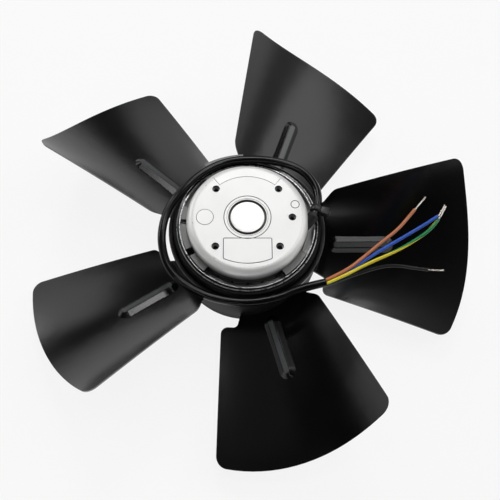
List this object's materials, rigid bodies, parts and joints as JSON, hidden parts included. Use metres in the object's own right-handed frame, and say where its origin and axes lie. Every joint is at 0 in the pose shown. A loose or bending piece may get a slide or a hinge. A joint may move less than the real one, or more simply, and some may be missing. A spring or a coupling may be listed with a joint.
{
  "type": "axial fan",
  "caption": "Axial fan with an external-rotor motor: round cast mounting flange, black rotor cup, pressed sheet-steel impeller of cambered blades and a loose connection cable.",
  "frame": {"origin": "centre of the flange's mounting face, in the plane of the face", "axes": "+Z along the fan's axis, out of the mounting face; +X towards the earth screw hole"},
  "size_m": [0.295, 0.2954, 0.0764],
  "materials": {
    "cast_aluminium": "satin casting",
    "bright_steel": "ground",
    "core_steel": "stacked sheets",
    "winding_copper": "enamelled",
    "insulation": "matt",
    "cage_plastic": "matt",
    "rotor_paint": "gloss paint",
    "blade_paint": "satin paint",
    "sheath_black": "satin",
    "grommet_rubber": "matt",
    "core_brown": "satin",
    "core_blue": "satin",
    "core_green_yellow": "satin",
    "core_black": "satin",
    "bare_copper": "bright strands"
  },
  "bodies": {
    "stator": {"bare_end_black": "bare_copper", "bare_end_blue": "bare_copper", "bare_end_brown": "bare_copper", "bare_end_green_yellow": "bare_copper", "bearing_cap": "bright_steel", "blind_plug": "cast_aluminium", "cable_grommet": "grommet_rubber", "cable_sheath": "sheath_black", "cable_tie": "sheath_black", "connection_cover": "cast_aluminium", "core_black": "core_black", "core_blue": "core_blue", "core_brown": "core_brown", "core_green_yellow": "core_green_yellow", "insulator_lower": "insulation", "insulator_upper": "insulation", "lower_bearing_outer_ring": "bright_steel", "lower_bearing_shields": "bright_steel", "preload_spring": "bright_steel", "retaining_ring": "bright_steel", "stator_core": "core_steel", "stator_flange": "cast_aluminium", "stator_winding": "winding_copper", "thermal_protector": "insulation", "upper_bearing_outer_ring": "bright_steel", "upper_bearing_shields": "bright_steel"},
    "rotor": {"rotor_cup": "rotor_paint", "rotor_core": "core_steel", "rotor_cage": "cast_aluminium", "balance_ring": "rotor_paint", "shaft": "bright_steel", "impeller": "blade_paint", "upper_bearing_inner_ring": "bright_steel", "lower_bearing_inner_ring": "bright_steel"},
    "upper_ball_set": {"upper_bearing_cage": "cage_plastic", "upper_bearing_balls": "bright_steel"},
    "lower_ball_set": {"lower_bearing_cage": "cage_plastic", "lower_bearing_balls": "bright_steel"}
  },
  "joints": [
    {"name": "rotor_spin", "type": "hinge", "parent": "stator", "child": "rotor", "pos_m": [0, 0, -0.03], "axis": [0, 0, 1], "continuous": true},
    {"name": "upper_balls_orbit", "type": "hinge", "parent": "stator", "child": "upper_ball_set", "pos_m": [0, 0, -0.0081], "axis": [0, 0, 1], "continuous": true},
    {"name": "lower_balls_orbit", "type": "hinge", "parent": "stator", "child": "lower_ball_set", "pos_m": [0, 0, -0.053], "axis": [0, 0, 1], "continuous": true}
  ],
  "couplings": [
    {"joint": "upper_balls_orbit", "follows": "rotor_spin", "ratio": 0.36767},
    {"joint": "lower_balls_orbit", "follows": "rotor_spin", "ratio": 0.36767}
  ]
}
